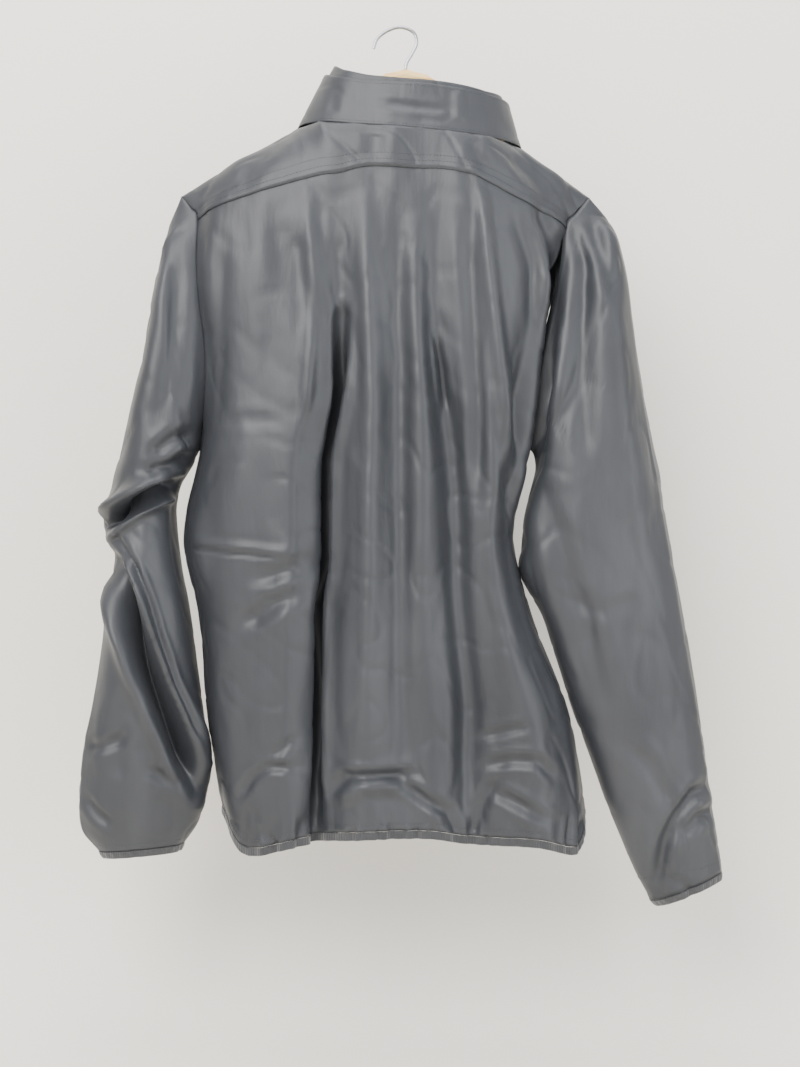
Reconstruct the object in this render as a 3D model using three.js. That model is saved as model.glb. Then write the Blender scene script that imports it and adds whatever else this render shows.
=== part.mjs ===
import * as THREE from 'three';

// A hooded-collar rain jacket zipped shut on a flat wooden hanger, hanging by the hanger's hook.
// Millimetres, +Z up. The chest faces -Y, the back faces +Y and the wearer's left is +X.
// The origin is the inner top of the hook, where a rod or a peg carries it.

const clothThick = 1.4;     // every cloth shell
const seamGap = 0.3;        // left open between the pieces of a seam
const hookAside = 7;        // the hook's top stands this far to the wearer's left of the neck
const underarm = -412;      // height of both underarm points
const hemTall = 8;          // elastic binding round the hem
const cuffTall = 7;         // elastic binding round a cuff
const yokeRows = 4;
const upperRows = 6;        // rows of cloth from the yoke seam down to the underarm
const lowerRows = 14;       // rows from the underarm down to the hem
const shoulderRows = 3;     // rows of a front that turn over the shoulder
const shoulderReach = 58;   // how far down a front that turn goes
const columnsPerSpan = 2;   // columns of cloth between two lines of a table
const zipHalfGap = 6;       // the front edges stand this far from the zip's middle
const tapeWide = 15;
const tapeThick = 1;
const collarLayers = 3.4;   // from the collar's outer layer in to its inner one, at the seam
const wireRadius = 1.7;

const cloth = { color: 0x6a6c72, roughness: 0.5, metalness: 0.0 };
const elastic = { color: 0x4b4d53, roughness: 0.75, metalness: 0.0 };
const tape = { color: 0x3b3d42, roughness: 0.8, metalness: 0.0 };
const zipMetal = { color: 0x8d8f93, roughness: 0.35, metalness: 1.0 };
const wood = { color: 0xe3bd72, roughness: 0.4, metalness: 0.0 };
const steel = { color: 0x9b9da0, roughness: 0.3, metalness: 1.0 };

// Heights at which the body's lines are given.
const levels = [-160, -240, -330, -420, -500, -580, -680, -790];

// The back, ridge by ridge and valley by valley, from the left side seam to the right one.
// x and y: where the line runs at each level. seam and hem: heights of the yoke seam and of the
// hem's lower edge on it. top: the point of the shoulder or of the neck that it rises to. A line
// that closes meets the other panel's own line below the underarm.
const backLines = [
  { name: 'left side', seam: -186, hem: -771, top: [222, 0, -165], closes: true,
    x: [204, 204, 196, 205, 221, 205, 196, 177], y: [6, 20, 18, 14, 0, 0, 0, 0] },
  { name: 'left flank', seam: -172, hem: -805, top: [163, 0, -129],
    x: [172, 178, 172, 182, 196, 184, 174, 158], y: [34, 42, 42, 38, 36, 34, 34, 37] },
  { name: 'left ridge', seam: -150, hem: -797, top: [108, 0, -99],
    x: [94, 93, 95, 108, 110, 114, 116, 112], y: [46, 51, 56, 58, 58, 58, 57, 57] },
  { name: 'deep fold', seam: -146, hem: -794, top: [86, 30, -97],
    x: [66, 66, 68, 82, 83, 88, 93, 88], y: [49, 47, 40, 31, 27, 26, 25, 30] },
  { name: 'broad ridge', seam: -140, hem: -789, top: [52, 42, -101],
    x: [40, 42, 38, 42, 44, 46, 48, 46], y: [50, 55, 60, 62, 62, 61, 60, 58] },
  { name: 'middle', seam: -141, hem: -788, top: [12, 47, -104.5],
    x: [10, 12, 10, 8, 6, 6, 6, 6], y: [50, 51, 52, 52, 51, 51, 50, 53] },
  { name: 'middle ridge', seam: -142, hem: -788, top: [-12, 47, -106.5],
    x: [-12, -8, -12, -18, -18, -18, -24, -26], y: [50, 53, 57, 57, 56, 55, 54, 57] },
  { name: 'soft valley', seam: -143, hem: -795, top: [-40, 45, -109],
    x: [-36, -30, -32, -43, -47, -50, -62, -60], y: [50, 48, 44, 38, 36, 36, 37, 41] },
  { name: 'right ridge', seam: -150, hem: -796, top: [-80, 34, -112.5],
    x: [-66, -78, -84, -84, -80, -90, -116, -122], y: [48, 55, 57, 54, 52, 52, 54, 56] },
  { name: 'right flank', seam: -173, hem: -806, top: [-112, 0, -118],
    x: [-116, -116, -108, -102, -95, -111, -146, -160], y: [32, 38, 38, 33, 30, 31, 34, 36] },
  { name: 'right shoulder', seam: -184, hem: -796, top: [-145, 0, -142],
    x: [-140, -134, -120, -111, -101, -119, -155, -171], y: [20, 29, 26, 20, 18, 19, 22, 24] },
  { name: 'right side', seam: -194, hem: -774, top: [-178, 0, -166], closes: true,
    x: [-158, -148, -129, -118, -104, -124, -160, -177], y: [6, 14, 10, 8, 0, 0, 0, 0] },
];

// The fronts, from each side seam to the zip; the side's columns are the back's own.
const frontLines = {
  left: [
    { name: 'side', hem: -771, top: [222, 0, -165], closes: true,
      x: backLines[0].x, y: [-6, -20, -18, -14, 0, 0, 0, 0] },
    { name: 'flank', hem: -803, top: [163, 0, -129],
      x: [172, 180, 172, 180, 194, 180, 172, 154], y: [-28, -38, -40, -38, -36, -34, -34, -36] },
    { name: 'breast', hem: -800, top: [108, 0, -99],
      x: [120, 122, 114, 120, 130, 124, 118, 108], y: [-36, -46, -52, -53, -51, -50, -48, -50] },
    { name: 'valley', hem: -797, top: [84, -30, -118],
      x: [82, 78, 76, 80, 86, 84, 80, 76], y: [-44, -45, -40, -36, -33, -33, -34, -38] },
    { name: 'placket', hem: -793, top: [50, -50, -146],
      x: [44, 42, 42, 44, 46, 46, 44, 42], y: [-54, -55, -56, -57, -57, -56, -54, -53] },
    { name: 'zip fold', hem: -790, top: [22, -57.5, -161],
      x: Array(8).fill(22), y: [-57, -57, -56, -55, -54, -53, -52, -52] },
    { name: 'zip edge', hem: -790, top: [zipHalfGap, -57.5, -163],
      x: Array(8).fill(zipHalfGap), y: [-57, -57, -56, -55, -54, -53, -52, -52] },
  ],
  right: [
    { name: 'side', hem: -774, top: [-178, 0, -166], closes: true,
      x: backLines[11].x, y: [-6, -14, -10, -8, 0, 0, 0, 0] },
    { name: 'flank', hem: -803, top: [-145, 0, -142],
      x: [-134, -128, -112, -102, -92, -108, -142, -158],
      y: [-28, -36, -36, -32, -30, -31, -34, -36] },
    { name: 'breast', hem: -800, top: [-112, 0, -118],
      x: [-104, -102, -92, -86, -80, -90, -114, -124],
      y: [-38, -46, -50, -50, -49, -48, -48, -50] },
    { name: 'valley', hem: -797, top: [-88, -30, -134],
      x: [-76, -74, -70, -66, -62, -68, -82, -88], y: [-46, -45, -40, -36, -34, -34, -35, -38] },
    { name: 'placket', hem: -793, top: [-52, -50, -152],
      x: [-44, -44, -44, -42, -42, -44, -46, -46], y: [-54, -55, -56, -57, -57, -56, -54, -53] },
    { name: 'zip fold', hem: -790, top: [-22, -57.5, -163],
      x: Array(8).fill(-22), y: [-57, -57, -56, -55, -54, -53, -52, -52] },
    { name: 'zip edge', hem: -790, top: [-zipHalfGap, -57.5, -164],
      x: Array(8).fill(-zipHalfGap), y: [-57, -57, -56, -55, -54, -53, -52, -52] },
  ],
};

// Sleeve sections from the armhole down: the outer and the inner edge of each flattened ring,
// half its depth and the height its middle stands off the hanger's plane.
const sleeveSections = {
  left: [
    { outX: 238, outZ: -208, inX: 209, inZ: -424, deep: 36, mid: 0 },
    { outX: 249, outZ: -285, inX: 213, inZ: -431, deep: 42, mid: 0 },
    { outX: 264, outZ: -350, inX: 218, inZ: -438, deep: 46, mid: -2 },
    { outX: 281, outZ: -417, inX: 223, inZ: -445, deep: 48, mid: -4 },
    { outX: 294, outZ: -463, inX: 226, inZ: -452, deep: 47, mid: -6 },
    { outX: 298, outZ: -492, inX: 228, inZ: -461, deep: 42, mid: -8 },
    { outX: 287, outZ: -514, inX: 229, inZ: -477, deep: 44, mid: -8 },
    { outX: 293, outZ: -560, inX: 228, inZ: -520, deep: 47, mid: -6 },
    { outX: 300, outZ: -612, inX: 220, inZ: -575, deep: 46, mid: -4 },
    { outX: 309, outZ: -662, inX: 213, inZ: -630, deep: 42, mid: -2 },
    { outX: 318, outZ: -710, inX: 203, inZ: -682, deep: 38, mid: 0 },
    { outX: 322, outZ: -752, inX: 193, inZ: -730, deep: 35, mid: 2 },
    { outX: 320, outZ: -786, inX: 204, inZ: -776, deep: 29, mid: 2 },
    { outX: 303, outZ: -807, inX: 220, inZ: -799, deep: 22, mid: 2 },
  ],
  right: [
    { outX: -200, outZ: -194, inX: -124, inZ: -422, deep: 34, mid: 0 },
    { outX: -212, outZ: -232, inX: -125, inZ: -434, deep: 38, mid: 0 },
    { outX: -221, outZ: -282, inX: -122, inZ: -448, deep: 41, mid: 0 },
    { outX: -229, outZ: -335, inX: -118, inZ: -464, deep: 43, mid: 0 },
    { outX: -238, outZ: -390, inX: -114, inZ: -484, deep: 44, mid: 0 },
    { outX: -248, outZ: -440, inX: -112, inZ: -508, deep: 44, mid: 0 },
    { outX: -256, outZ: -492, inX: -112, inZ: -532, deep: 43, mid: 0 },
    { outX: -265, outZ: -545, inX: -126, inZ: -556, deep: 42, mid: 0 },
    { outX: -272, outZ: -592, inX: -143, inZ: -584, deep: 41, mid: 0 },
    { outX: -281, outZ: -645, inX: -157, inZ: -628, deep: 40, mid: 0 },
    { outX: -290, outZ: -695, inX: -171, inZ: -678, deep: 38, mid: 0 },
    { outX: -298, outZ: -745, inX: -186, inZ: -732, deep: 35, mid: 0 },
    { outX: -304, outZ: -790, inX: -204, inZ: -784, deep: 31, mid: 0 },
    { outX: -309, outZ: -827, inX: -237, inZ: -856, deep: 24, mid: 0 },
  ],
};

// Large folds of the bent left sleeve, on its back: the elbow's crease and the long valley.
const sleeveFolds = {
  left: [
    { name: 'elbow', fromX: 222, fromZ: -446, toX: 299, toZ: -491, wide: 9, deep: 15 },
    { name: 'forearm', fromX: 280, fromZ: -516, toX: 255, toZ: -618, wide: 13, deep: 22 },
    { name: 'forearm', fromX: 255, fromZ: -618, toX: 206, toZ: -745, wide: 13, deep: 20 },
  ],
  right: [],
};

// The collar's upper edge above each point of the neck seam, and how far the inner layer
// stands above the outer one there. Listed from the zip's right edge round the back.
const collarTops = [
  { x: -zipHalfGap, y: -57, z: -112, rise: 4 },
  { x: -21, y: -56.5, z: -111, rise: 4 },
  { x: -50, y: -46, z: -103, rise: 5 },
  { x: -82, y: -27, z: -91, rise: 6 },
  { x: -100, y: 0, z: -76, rise: 7 },
  { x: -78, y: 29, z: -70.5, rise: 4 },
  { x: -44, y: 40, z: -66, rise: 8 },
  { x: -18, y: 43, z: -63, rise: 9 },
  { x: 6, y: 43, z: -61.5, rise: 9 },
  { x: 42, y: 38, z: -58.5, rise: 9 },
  { x: 68, y: 26, z: -53, rise: 8 },
  { x: 82, y: 0, z: -48, rise: 9 },
  { x: 68, y: -27, z: -76, rise: 7 },
  { x: 44, y: -46, z: -98, rise: 5 },
  { x: 21, y: -56.5, z: -109, rise: 4 },
  { x: zipHalfGap, y: -57, z: -111, rise: 4 },
];

// The hanger's arms: height of the upper edge, height and thickness of the wood along it.
const hangerStations = [
  { x: 180, top: -142.4, tall: 15, thick: 9 },
  { x: 163, top: -131.8, tall: 19, thick: 11 },
  { x: 135.5, top: -116.4, tall: 22, thick: 12 },
  { x: 108, top: -103.4, tall: 23, thick: 11 },
  { x: 95, top: -97, tall: 24, thick: 12 },
  { x: 75, top: -80, tall: 24, thick: 13 },
  { x: 45, top: -58, tall: 25, thick: 13 },
  { x: 22, top: -44.5, tall: 26, thick: 13 },
  { x: 2, top: -40, tall: 27, thick: 13 },
  { x: -18, top: -45, tall: 26, thick: 13 },
  { x: -42, top: -60, tall: 25, thick: 13 },
  { x: -76, top: -92, tall: 24, thick: 13 },
  { x: -99, top: -114.5, tall: 24, thick: 12 },
  { x: -112, top: -123.2, tall: 23, thick: 11 },
  { x: -145, top: -145.6, tall: 20, thick: 10 },
  { x: -170, top: -165, tall: 15, thick: 6 },
];

// The hook's wire, from the wood up and over to its tip.
const hookPath = [
  [2, -39.6], [1, -34], [-4, -25], [-9, -14], [-6, -3.5], [hookAside, wireRadius],
  [20, -2], [30, -10], [33.5, -19.5],
];

const point = (x, y, z) => new THREE.Vector3(x, y, z);
const mix = (a, b, t) => a + (b - a) * t;

// The value of a table's column at height z, on a smooth curve through its levels.
function along(values, z) {
  let i = 0;
  while (i < levels.length - 2 && z < levels[i + 1]) i += 1;
  const t = Math.min(Math.max((z - levels[i]) / (levels[i + 1] - levels[i]), 0), 1);
  const slope = (k) => {
    const a = Math.max(k - 1, 0), b = Math.min(k + 1, levels.length - 1);
    return (values[b] - values[a]) / (levels[b] - levels[a]) * (levels[i + 1] - levels[i]);
  };
  return (2 * t ** 3 - 3 * t ** 2 + 1) * values[i] + (t ** 3 - 2 * t ** 2 + t) * slope(i)
    + (3 * t ** 2 - 2 * t ** 3) * values[i + 1] + (t ** 3 - t ** 2) * slope(i + 1);
}

// A line's point at height z: on its table, or on a round turn to the line's top above that.
function linePoint(line, z, reach) {
  const down = Math.min((line.top[2] - z) / reach, 1);
  const over = Math.sqrt(1 - (1 - down) ** 2);
  const shut = line.closes ? Math.sqrt(Math.min(Math.max((z - underarm) / 70, 0), 1)) : 1;
  return point(mix(line.top[0], along(line.x, z), down),
    mix(line.top[1], along(line.y, z) * shut, over), z);
}

// Points of one row of cloth through its lines' points: straight between them at a seam that
// is shared (rounded 0), on a smooth curve elsewhere (rounded 1).
function across(points, rounded) {
  const curve = new THREE.CatmullRomCurve3(points, false, 'centripetal');
  const count = (points.length - 1) * columnsPerSpan;
  return Array.from({ length: count + 1 }, (_, j) => {
    const k = Math.min(Math.floor(j / columnsPerSpan), points.length - 2);
    const straight = points[k].clone().lerp(points[k + 1], j / columnsPerSpan - k);
    return straight.lerp(curve.getPoint(j / count), rounded);
  });
}

// Draws the named borders of a grid in by half a seam's gap, and the top by widen(column) more.
function inset(grid, borders, widen = () => 0) {
  const last = grid.length - 1, end = grid[0].length - 1;
  const pull = (p, inner, more = 0) => (
    p.add(inner.clone().sub(p).setLength(seamGap / 2 + more)));
  if (borders.includes('top')) grid[0].forEach((p, j) => pull(p, grid[1][j], widen(j)));
  if (borders.includes('bottom')) grid[last].forEach((p, j) => pull(p, grid[last - 1][j]));
  if (borders.includes('start')) grid.forEach((row) => pull(row[0], row[1]));
  if (borders.includes('end')) grid.forEach((row) => pull(row[end], row[end - 1]));
  return grid;
}

function solid(name, positions, faces, finish) {
  const geometry = new THREE.BufferGeometry();
  geometry.setAttribute('position', new THREE.Float32BufferAttribute(positions, 3));
  geometry.setIndex(faces);
  geometry.translate(-hookAside, 0, 0);
  geometry.computeVertexNormals();
  const mesh = new THREE.Mesh(geometry, new THREE.MeshStandardMaterial(finish));
  mesh.name = name;
  return mesh;
}

// A thin shell on a grid of points. A ring joins its last column to its first. beyond holds
// the neighbouring piece's points past a border, so that both rims there stand alike.
function shell(name, grid, thick, finish, { ring = false, beyond = {} } = {}) {
  const rows = grid.length, cols = grid[0].length, spans = ring ? cols : cols - 1;
  const positions = [], faces = [];
  const at = (i, j) => {
    if (i < 0) return beyond.top?.[j] ?? grid[0][j];
    if (i >= rows) return beyond.bottom?.[j] ?? grid[rows - 1][j];
    if (!ring && j < 0) return beyond.start?.[i] ?? grid[i][0];
    if (!ring && j >= cols) return beyond.end?.[i] ?? grid[i][cols - 1];
    return grid[i][(j + cols) % cols];
  };
  for (const side of [0.5, -0.5]) {
    grid.forEach((row, i) => row.forEach((p, j) => {
      const acrossway = at(i, j + 1).clone().sub(at(i, j - 1));
      const downway = at(i + 1, j).clone().sub(at(i - 1, j));
      const out = acrossway.cross(downway).setLength(thick * side);
      positions.push(...p.clone().add(out).toArray());
    }));
  }
  const back = rows * cols, low = (rows - 1) * cols, end = cols - 1;
  const quad = (a, b, c, d) => faces.push(a, b, c, a, c, d);
  for (let i = 0; i < rows - 1; i += 1) {
    for (let j = 0; j < spans; j += 1) {
      const a = i * cols + j, b = i * cols + (j + 1) % cols;
      quad(a, b, b + cols, a + cols);
      quad(back + a, back + a + cols, back + b + cols, back + b);
    }
  }
  for (let j = 0; j < spans; j += 1) {
    const b = (j + 1) % cols;
    quad(j, back + j, back + b, b);
    quad(low + j, low + b, back + low + b, back + low + j);
  }
  for (let a = 0; !ring && a < low; a += cols) {
    quad(a, a + cols, back + a + cols, back + a);
    quad(a + end, back + a + end, back + a + cols + end, a + cols + end);
  }
  return solid(name, positions, faces, finish);
}

// A solid bar through a list of rings, closed with a flat cap at each end.
function loft(name, rings, finish) {
  const count = rings[0].length, faces = [];
  const positions = rings.flatMap((ring) => ring.flatMap((p) => p.toArray()));
  for (let i = 0; i < rings.length - 1; i += 1) {
    for (let j = 0; j < count; j += 1) {
      const a = i * count + j, b = i * count + (j + 1) % count;
      faces.push(a, b + count, b, a, a + count, b + count);
    }
  }
  const low = (rings.length - 1) * count;
  for (let j = 1; j < count - 1; j += 1) {
    faces.push(0, j, j + 1, low, low + j + 1, low + j);
  }
  return solid(name, positions, faces, finish);
}

// Heights down one line: over the shoulder, down to the underarm and down to the hem.
function heightsDown(line, reach, turnRows) {
  const low = line.hem + hemTall, bend = line.top[2] - reach, heights = [];
  for (let i = 0; i < turnRows; i += 1) {
    heights.push(line.top[2] - reach * (1 - Math.cos((i / turnRows) * Math.PI / 2)));
  }
  for (let i = 0; i < upperRows; i += 1) heights.push(mix(bend, underarm, i / upperRows));
  for (let i = 0; i <= lowerRows; i += 1) heights.push(mix(underarm, low, i / lowerRows));
  return heights;
}

// Grid of a piece of the body: one row of points for each step down its lines.
function bodyGrid(lines, reachOf, turnRows) {
  const downs = lines.map((line) => heightsDown(line, reachOf(line), turnRows));
  return downs[0].map((_, i) => across(
    lines.map((line, k) => linePoint(line, downs[k][i], reachOf(line))),
    Math.min(i / turnRows, 1),
  ));
}

// Body: yoke and back share one run of lines, cut at the yoke seam. Column 0 is the side's.
const wholeBack = bodyGrid(backLines, (line) => line.top[2] - line.seam, yokeRows);
const wholeFronts = {
  left: bodyGrid(frontLines.left, () => shoulderReach, shoulderRows),
  right: bodyGrid(frontLines.right, () => shoulderReach, shoulderRows),
};
const sideColumn = { left: 0, right: wholeBack[0].length - 1 };
const nextColumn = { left: 1, right: wholeBack[0].length - 2 };
const frontPit = shoulderRows + upperRows, backPit = yokeRows + upperRows;
const shoulderColumns = 2 * columnsPerSpan;

// Armhole: down the back's edge from the shoulder and up the front's edge to it again.
function armhole(side) {
  const behind = wholeBack.slice(0, backPit).map((row) => row[sideColumn[side]]);
  const before = wholeFronts[side].slice(1, frontPit + 1).map((row) => row[0]);
  return { behind, before: before.reverse() };
}

// Share of the way from the shoulder to the underarm, for each point down one edge.
function shares(points) {
  const run = [0];
  for (let i = 1; i < points.length; i += 1) {
    run.push(run[i - 1] + points[i].distanceTo(points[i - 1]));
  }
  return run.map((length) => length / run[run.length - 1]);
}

// How far a fold sinks the cloth at (x, z).
function foldDepth(fold, x, z) {
  const alongX = fold.toX - fold.fromX, alongZ = fold.toZ - fold.fromZ;
  const t = ((x - fold.fromX) * alongX + (z - fold.fromZ) * alongZ) / (alongX ** 2 + alongZ ** 2);
  const near = Math.min(Math.max(t, 0), 1);
  const away = Math.hypot(x - fold.fromX - alongX * near, z - fold.fromZ - alongZ * near);
  return fold.deep * Math.exp(-((away / fold.wide) ** 2));
}

// A sleeve's rings: the armhole's own loop first, then the sections. Points run down the back
// from the shoulder to the underarm and up the front again.
function sleeveGrid(side) {
  const { behind, before } = armhole(side);
  const shoulder = behind[0], pit = before[0];
  const down = shares([...behind, pit]).slice(0, -1);
  const up = shares([shoulder, ...[...before].reverse()]).slice(1).reverse();
  const rings = sleeveSections[side].map((section) => {
    const middle = point((section.outX + section.inX) / 2, section.mid,
      (section.outZ + section.inZ) / 2);
    const half = point((section.outX - section.inX) / 2, 0, (section.outZ - section.inZ) / 2);
    const ringPoint = (share, behindIt) => {
      const p = middle.clone().addScaledVector(half, Math.cos(Math.PI * share));
      const bulge = section.deep * Math.sin(Math.PI * share) ** 0.8;
      const sunk = sleeveFolds[side].reduce((sum, fold) => sum + foldDepth(fold, p.x, p.z), 0);
      p.y += behindIt ? Math.max(bulge - sunk, bulge * 0.15) : -bulge;
      return p;
    };
    return [...down.map((s) => ringPoint(s, true)), ...up.map((s) => ringPoint(s, false))];
  });
  return [[...behind, ...before].map((p) => p.clone()), ...rings];
}

const wholeSleeves = { left: sleeveGrid('left'), right: sleeveGrid('right') };

// What lies past each border of the cloth, for shell().
const past = {
  yoke: {
    top: wholeBack[0].map((_, j) => (j <= shoulderColumns ? wholeFronts.left[1][j]
      : wholeFronts.right[1].slice(0, shoulderColumns + 1)[sideColumn.right - j])),
    bottom: wholeBack[yokeRows + 1],
    start: wholeSleeves.left[1],
    end: wholeSleeves.right[1],
  },
  back: {
    top: wholeBack[yokeRows - 1],
    bottom: wholeBack[wholeBack.length - 1].map((p) => point(p.x, p.y, p.z - hemTall)),
    start: wholeBack.slice(yokeRows).map((_, i) => (i < upperRows
      ? wholeSleeves.left[1][i + yokeRows] : wholeFronts.left[i + yokeRows - 1][1])),
    end: wholeBack.slice(yokeRows).map((_, i) => (i < upperRows
      ? wholeSleeves.right[1][i + yokeRows] : wholeFronts.right[i + yokeRows - 1][1])),
  },
};
function pastFront(side) {
  const front = wholeFronts[side], ringEnd = backPit + frontPit;
  return {
    top: front[0].map((_, j) => (j <= shoulderColumns
      ? wholeBack[1][Math.abs(sideColumn[side] - j)] : undefined)),
    bottom: front[front.length - 1].map((p) => point(p.x, p.y, p.z - hemTall)),
    start: front.map((_, i) => {
      if (i >= frontPit) return wholeBack[i + 1][nextColumn[side]];
      return wholeSleeves[side][1][i === 0 ? 0 : ringEnd - i];
    }),
  };
}
function pastSleeve(side) {
  return {
    top: wholeSleeves[side][0].map((_, k) => (k < backPit
      ? wholeBack[k][nextColumn[side]] : wholeFronts[side][backPit + frontPit - k][1])),
  };
}

const copy = (grid) => grid.map((row) => row.map((p) => p.clone()));
const yokeGrid = inset(copy(wholeBack.slice(0, yokeRows + 1)), ['top', 'bottom', 'start', 'end']);
const backGrid = inset(copy(wholeBack.slice(yokeRows)), ['top', 'bottom', 'start', 'end']);
const frontGrids = {
  left: inset(copy(wholeFronts.left), ['top', 'bottom', 'start']),
  right: inset(copy(wholeFronts.right), ['top', 'bottom', 'start']),
};
// Three pieces meet at the underarm, so the sleeve stands a little wider off there.
const pitRoom = (k) => 5 * Math.max(1 - Math.abs(k - backPit) / 4, 0);
const sleeveGrids = {
  left: inset(copy(wholeSleeves.left), ['top', 'bottom'], pitRoom),
  right: inset(copy(wholeSleeves.right), ['top', 'bottom'], pitRoom),
};

// A cuff's elastic, drawn in a little below the sleeve's last ring.
function cuffGrid(side) {
  const rings = sleeveGrids[side], end = rings[rings.length - 1], prior = rings[rings.length - 2];
  const middle = end.reduce((sum, p) => sum.add(p), point(0, 0, 0)).divideScalar(end.length);
  const before = prior.reduce((sum, p) => sum.add(p), point(0, 0, 0)).divideScalar(prior.length);
  const way = middle.clone().sub(before).normalize();
  return [seamGap, cuffTall].map((step) => end.map((p) => {
    const drawn = p.clone().lerp(middle, step === cuffTall ? 0.08 : 0);
    return drawn.addScaledVector(way, step);
  }));
}

// The hem's elastic follows the lower edge of the fronts and the back, open at the zip.
const hemEdge = [
  ...[...wholeFronts.right[wholeFronts.right.length - 1]].reverse(),
  ...[...wholeBack[wholeBack.length - 1]].reverse().slice(1),
  ...wholeFronts.left[wholeFronts.left.length - 1].slice(1),
].map((p) => p.clone());
const hemAbove = [
  ...[...wholeFronts.right[wholeFronts.right.length - 2]].reverse(),
  ...[...wholeBack[wholeBack.length - 2]].reverse().slice(1),
  ...wholeFronts.left[wholeFronts.left.length - 2].slice(1),
];
const hemGrid = inset([seamGap / 2, hemTall].map((drop) => hemEdge.map((p) => (
  point(p.x, p.y, p.z - drop)))), ['start', 'end']);

// Neck seam, round from the zip's right edge over the back to its left edge.
const neckPoints = [
  ...frontLines.right.slice(2).reverse(), ...backLines.slice(3, 9).reverse(),
  ...frontLines.left.slice(2),
].map((line) => point(...line.top));

function collarGrid(inner) {
  const rows = 3;
  return Array.from({ length: rows + 1 }, (_, i) => {
    const up = 1 - i / rows;
    const row = neckPoints.map((neck, k) => {
      const top = collarTops[k], tall = 1 + (inner ? top.rise / (top.z - neck.z) : 0);
      const lift = (neck.y === 0 ? 1.1 : 0.7) + (inner ? 2 : 0);
      const base = point(neck.x, neck.y, neck.z + lift);
      const p = base.clone().lerp(point(top.x, top.y, top.z), up * tall);
      if (!inner) return p;
      const flank = Math.abs(p.x) < zipHalfGap + 20 && p.y < 0 ? point(0, p.y, 0)
        : point(p.x + 4, p.y, 0);
      return p.addScaledVector(flank.normalize(), -collarLayers - 1.5 * up);
    });
    return across(row, Math.min(up * rows, 1));
  });
}
const collarOuterGrid = collarGrid(false);
const collarInnerGrid = collarGrid(true);

// Zip: each tape runs behind a front edge from the hem to the collar's top.
function tapeGrid(side) {
  const front = wholeFronts[side], edge = front[0].length - 1, sign = side === 'left' ? 1 : -1;
  const inward = clothThick / 2 + seamGap + tapeThick / 2 + 0.2;
  const collar = side === 'left' ? collarOuterGrid.map((row) => row[row.length - 1])
    : collarOuterGrid.map((row) => row[0]);
  const heights = [...collar, ...front.map((row) => row[edge]).slice(1)];
  return heights.map((p) => [0.3, tapeWide].map((x) => point(sign * x, p.y + inward, p.z)));
}
const tapeGrids = { left: tapeGrid('left'), right: tapeGrid('right') };

// Slider: one profile cut across its width, a plate with an arch for the pull's bar.
const sliderAt = point(0, -57 + clothThick / 2 + 0.2, -121);
const sliderWide = 6, sliderTall = 11, plateThick = 2, archReach = 4.4, archSpan = 8;
const pullBar = point(0, sliderAt.y - plateThick - 1.5, sliderAt.z);

function slider() {
  const profile = new THREE.Shape([
    [0, sliderTall / 2], [0, -sliderTall / 2], [plateThick, -sliderTall / 2],
    [plateThick, -archSpan / 2], [plateThick + archReach - 1, -archSpan / 2],
    [plateThick + archReach, -archSpan / 2 + 1.2], [plateThick + archReach, archSpan / 2 - 1.2],
    [plateThick + archReach - 1, archSpan / 2], [plateThick, archSpan / 2],
    [plateThick, sliderTall / 2],
  ].map(([out, up]) => new THREE.Vector2(out, up)));
  profile.holes.push(new THREE.Path([
    [plateThick, -2.4], [plateThick + 3, -2.4], [plateThick + 3, 2.4], [plateThick, 2.4],
  ].map(([out, up]) => new THREE.Vector2(out + 0.05, up))));
  const geometry = new THREE.ExtrudeGeometry(profile, { depth: sliderWide, bevelEnabled: false });
  geometry.translate(0, 0, -sliderWide / 2);
  // The profile's first axis points out of the chest and its second one up.
  geometry.applyMatrix4(new THREE.Matrix4().makeBasis(
    point(0, -1, 0), point(0, 0, 1), point(-1, 0, 0)));
  geometry.translate(sliderAt.x - hookAside, sliderAt.y, sliderAt.z);
  const mesh = new THREE.Mesh(geometry, new THREE.MeshStandardMaterial(zipMetal));
  mesh.name = 'zip_slider';
  return mesh;
}

// Pull tab: a flat frame whose upper bar lies through the slider's arch.
function pullTab() {
  const outline = new THREE.Shape([
    [-4.6, 0.8], [-4.6, -6], [-3.4, -12], [-3.4, -27], [-2, -29], [2, -29], [3.4, -27],
    [3.4, -12], [4.6, -6], [4.6, 0.8],
  ].map(([x, z]) => new THREE.Vector2(x, z)));
  outline.holes.push(new THREE.Path([
    [-3.5, -0.8], [3.5, -0.8], [3.5, -5.6], [-3.5, -5.6],
  ].map(([x, z]) => new THREE.Vector2(x, z))));
  const geometry = new THREE.ExtrudeGeometry(outline, { depth: 1.2, bevelEnabled: false });
  geometry.translate(0, 0, -0.6);
  geometry.rotateX(Math.PI / 2);
  geometry.translate(pullBar.x - hookAside, pullBar.y, pullBar.z);
  const mesh = new THREE.Mesh(geometry, new THREE.MeshStandardMaterial(zipMetal));
  mesh.name = 'zip_pull';
  return mesh;
}

// Hanger: one flat bar of wood with rounded edges, drawn station by station.
function hangerWood() {
  const section = [
    [0.5, 0.3], [0.38, 0.45], [0.16, 0.5], [-0.16, 0.5], [-0.38, 0.45], [-0.5, 0.3],
    [-0.5, -0.3], [-0.38, -0.45], [-0.16, -0.5], [0.16, -0.5], [0.38, -0.45], [0.5, -0.3],
  ];
  return loft('hanger_wood', hangerStations.map(({ x, top, tall, thick }) => (
    section.map(([u, v]) => point(x, u * thick, top - tall / 2 + v * tall)))), wood);
}

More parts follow.
